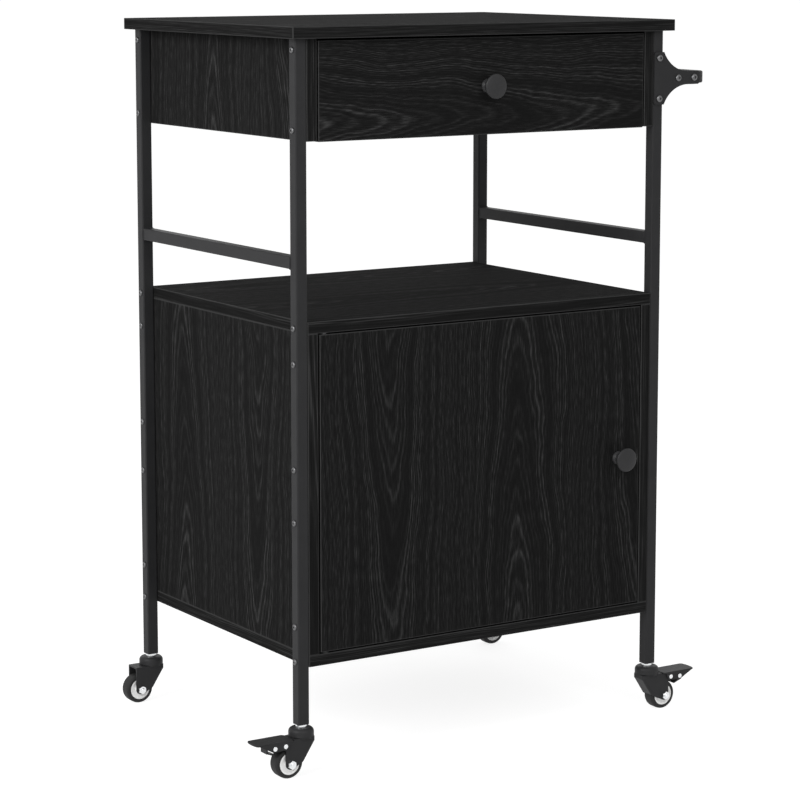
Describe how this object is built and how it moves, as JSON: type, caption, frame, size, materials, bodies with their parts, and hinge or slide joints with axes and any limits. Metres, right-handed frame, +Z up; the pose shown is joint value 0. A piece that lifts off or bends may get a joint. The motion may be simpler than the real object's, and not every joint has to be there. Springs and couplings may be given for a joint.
{
  "type": "kitchen cart with drawer",
  "caption": "Rolling kitchen cart: worktop on a square-tube frame with a drawer, an open bay with guard bars, a door cabinet, a push handle and braked swivel casters",
  "frame": {"origin": "on the floor, at the middle of the whole cart's outer box", "axes": "+Z up; the door and the drawer face -Y; the push handle is on the +X side"},
  "size_m": [0.715, 0.466, 0.95],
  "materials": {
    "frame_steel": "black powder coat, satin",
    "caster_black": "black enamel, glossy",
    "bright_steel": "bright zinc plate",
    "black_zinc": "black zinc plate",
    "zinc_steel": "dull zinc plate",
    "board": "black oak grain foil, embossed, on chipboard",
    "thin_board": "black lacquered thin fibreboard",
    "beech": "plain beech",
    "knob_black": "black enamel, satin",
    "nylon": "moulded black nylon",
    "tyre_rubber": "black rubber",
    "hub_white": "white moulded plastic"
  },
  "bodies": {
    "cart": {"front_left_leg": "frame_steel", "front_right_leg": "frame_steel", "back_left_leg": "frame_steel", "back_right_leg": "frame_steel", "left_guard_bar": "frame_steel", "right_guard_bar": "frame_steel", "leg_bottom_inserts": "nylon", "caster_stems": "bright_steel", "top_board": "board", "drawer_case_left": "board", "drawer_case_right": "board", "drawer_case_back": "board", "shelf_board": "board", "bottom_board": "board", "cabinet_left_panel": "board", "cabinet_right_panel": "board", "cabinet_back": "thin_board", "frame_screws": "black_zinc", "board_dowels": "beech", "handle_rail": "frame_steel", "handle_front_bracket": "frame_steel", "handle_back_bracket": "frame_steel", "handle_bolts": "black_zinc", "case_left_runner": "zinc_steel", "case_right_runner": "zinc_steel", "door_hinge_bushes": "nylon", "catch_magnet": "nylon"},
    "drawer": {"drawer_front": "board", "drawer_left_side": "board", "drawer_right_side": "board", "drawer_back": "board", "drawer_floor": "thin_board", "drawer_knob": "knob_black", "drawer_knob_screw": "bright_steel", "drawer_dowels": "beech", "drawer_left_runner": "zinc_steel", "drawer_right_runner": "zinc_steel"},
    "door": {"door_panel": "board", "door_knob": "knob_black", "door_knob_screw": "bright_steel", "door_hinge_pins": "bright_steel", "door_catch_plate": "zinc_steel"},
    "front_left_caster": {"front_left_fork": "caster_black", "front_left_axle": "bright_steel"},
    "front_left_wheel": {"front_left_tyre": "tyre_rubber", "front_left_hub": "hub_white"},
    "front_left_brake": {"front_left_brake_pedal": "caster_black"},
    "front_right_caster": {"front_right_fork": "caster_black", "front_right_axle": "bright_steel"},
    "front_right_wheel": {"front_right_tyre": "tyre_rubber", "front_right_hub": "hub_white"},
    "front_right_brake": {"front_right_brake_pedal": "caster_black"},
    "back_left_caster": {"back_left_fork": "caster_black", "back_left_axle": "bright_steel"},
    "back_left_wheel": {"back_left_tyre": "tyre_rubber", "back_left_hub": "hub_white"},
    "back_right_caster": {"back_right_fork": "caster_black", "back_right_axle": "bright_steel"},
    "back_right_wheel": {"back_right_tyre": "tyre_rubber", "back_right_hub": "hub_white"}
  },
  "joints": [
    {"name": "drawer_slide", "type": "slide", "parent": "cart", "child": "drawer", "axis": [0, -1, 0], "range_m": [0, 0.26]},
    {"name": "door_swing", "type": "hinge", "parent": "cart", "child": "door", "pos_m": [-0.2505, -0.2025, 0.36], "axis": [0, 0, -1], "range_deg": [0, 110]},
    {"name": "front_left_swivel", "type": "hinge", "parent": "cart", "child": "front_left_caster", "pos_m": [-0.2845, -0.201, 0.06], "axis": [0, 0, 1], "continuous": true},
    {"name": "front_right_swivel", "type": "hinge", "parent": "cart", "child": "front_right_caster", "pos_m": [0.2695, -0.201, 0.06], "axis": [0, 0, 1], "continuous": true},
    {"name": "back_left_swivel", "type": "hinge", "parent": "cart", "child": "back_left_caster", "pos_m": [-0.2845, 0.213, 0.06], "axis": [0, 0, 1], "continuous": true},
    {"name": "back_right_swivel", "type": "hinge", "parent": "cart", "child": "back_right_caster", "pos_m": [0.2695, 0.213, 0.06], "axis": [0, 0, 1], "continuous": true},
    {"name": "front_left_spin", "type": "hinge", "parent": "front_left_caster", "child": "front_left_wheel", "pos_m": [-0.3065, -0.201, 0.02], "axis": [0, 1, 0], "continuous": true},
    {"name": "front_right_spin", "type": "hinge", "parent": "front_right_caster", "child": "front_right_wheel", "pos_m": [0.2915, -0.201, 0.02], "axis": [0, 1, 0], "continuous": true},
    {"name": "back_left_spin", "type": "hinge", "parent": "back_left_caster", "child": "back_left_wheel", "pos_m": [-0.3065, 0.213, 0.02], "axis": [0, 1, 0], "continuous": true},
    {"name": "back_right_spin", "type": "hinge", "parent": "back_right_caster", "child": "back_right_wheel", "pos_m": [0.2915, 0.213, 0.02], "axis": [0, 1, 0], "continuous": true},
    {"name": "front_left_brake_press", "type": "hinge", "parent": "front_left_caster", "child": "front_left_brake", "pos_m": [-0.3155, -0.201, 0.0455], "axis": [0, -1, 0], "range_deg": [0, 12]},
    {"name": "front_right_brake_press", "type": "hinge", "parent": "front_right_caster", "child": "front_right_brake", "pos_m": [0.3005, -0.201, 0.0455], "axis": [0, 1, 0], "range_deg": [0, 12]}
  ]
}
